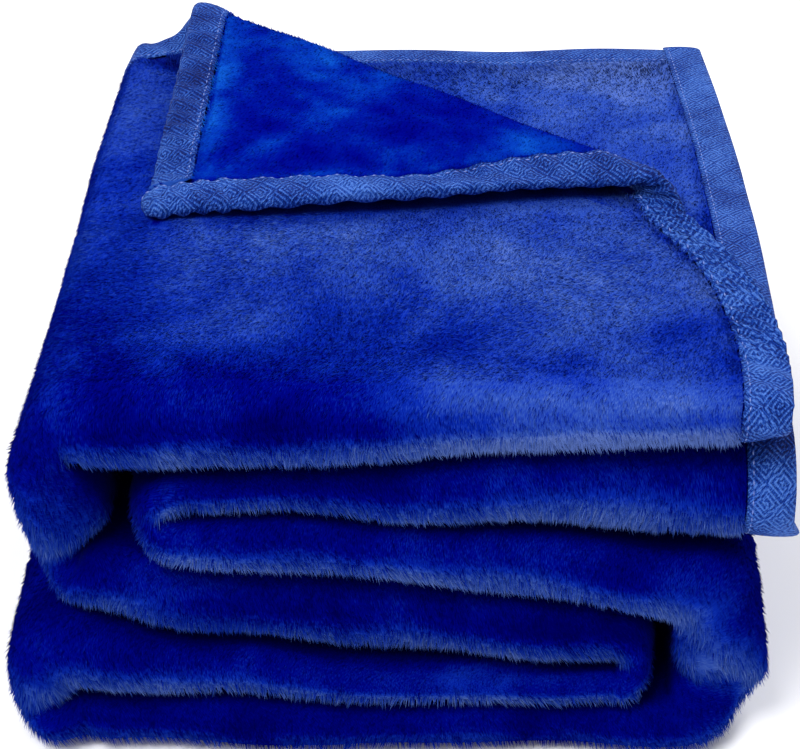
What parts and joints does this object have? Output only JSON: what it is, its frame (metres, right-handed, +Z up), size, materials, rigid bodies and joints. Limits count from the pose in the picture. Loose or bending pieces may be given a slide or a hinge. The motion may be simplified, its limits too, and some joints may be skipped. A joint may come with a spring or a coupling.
{
  "type": "folded plush throw blanket",
  "caption": "Double-sided plush throw blanket with woven edge binding, folded into a soft bundle with one corner of the top ply turned over.",
  "frame": {"origin": "middle of the underside of the folded bundle", "axes": "+Z up, +X to the right and +Y away from the viewer, who faces the rounded front folds"},
  "size_m": [0.277, 0.3334, 0.1668],
  "materials": {
    "plush": "deep royal blue short plush pile",
    "binding_tape": "woven tape with a raised key pattern, low sheen"
  },
  "bodies": {
    "root": {"plush_cloth": "plush", "binding_first_end": "binding_tape", "binding_last_end": "binding_tape", "binding_top_ply_side": "binding_tape", "binding_second_ply_side": "binding_tape"}
  },
  "joints": []
}
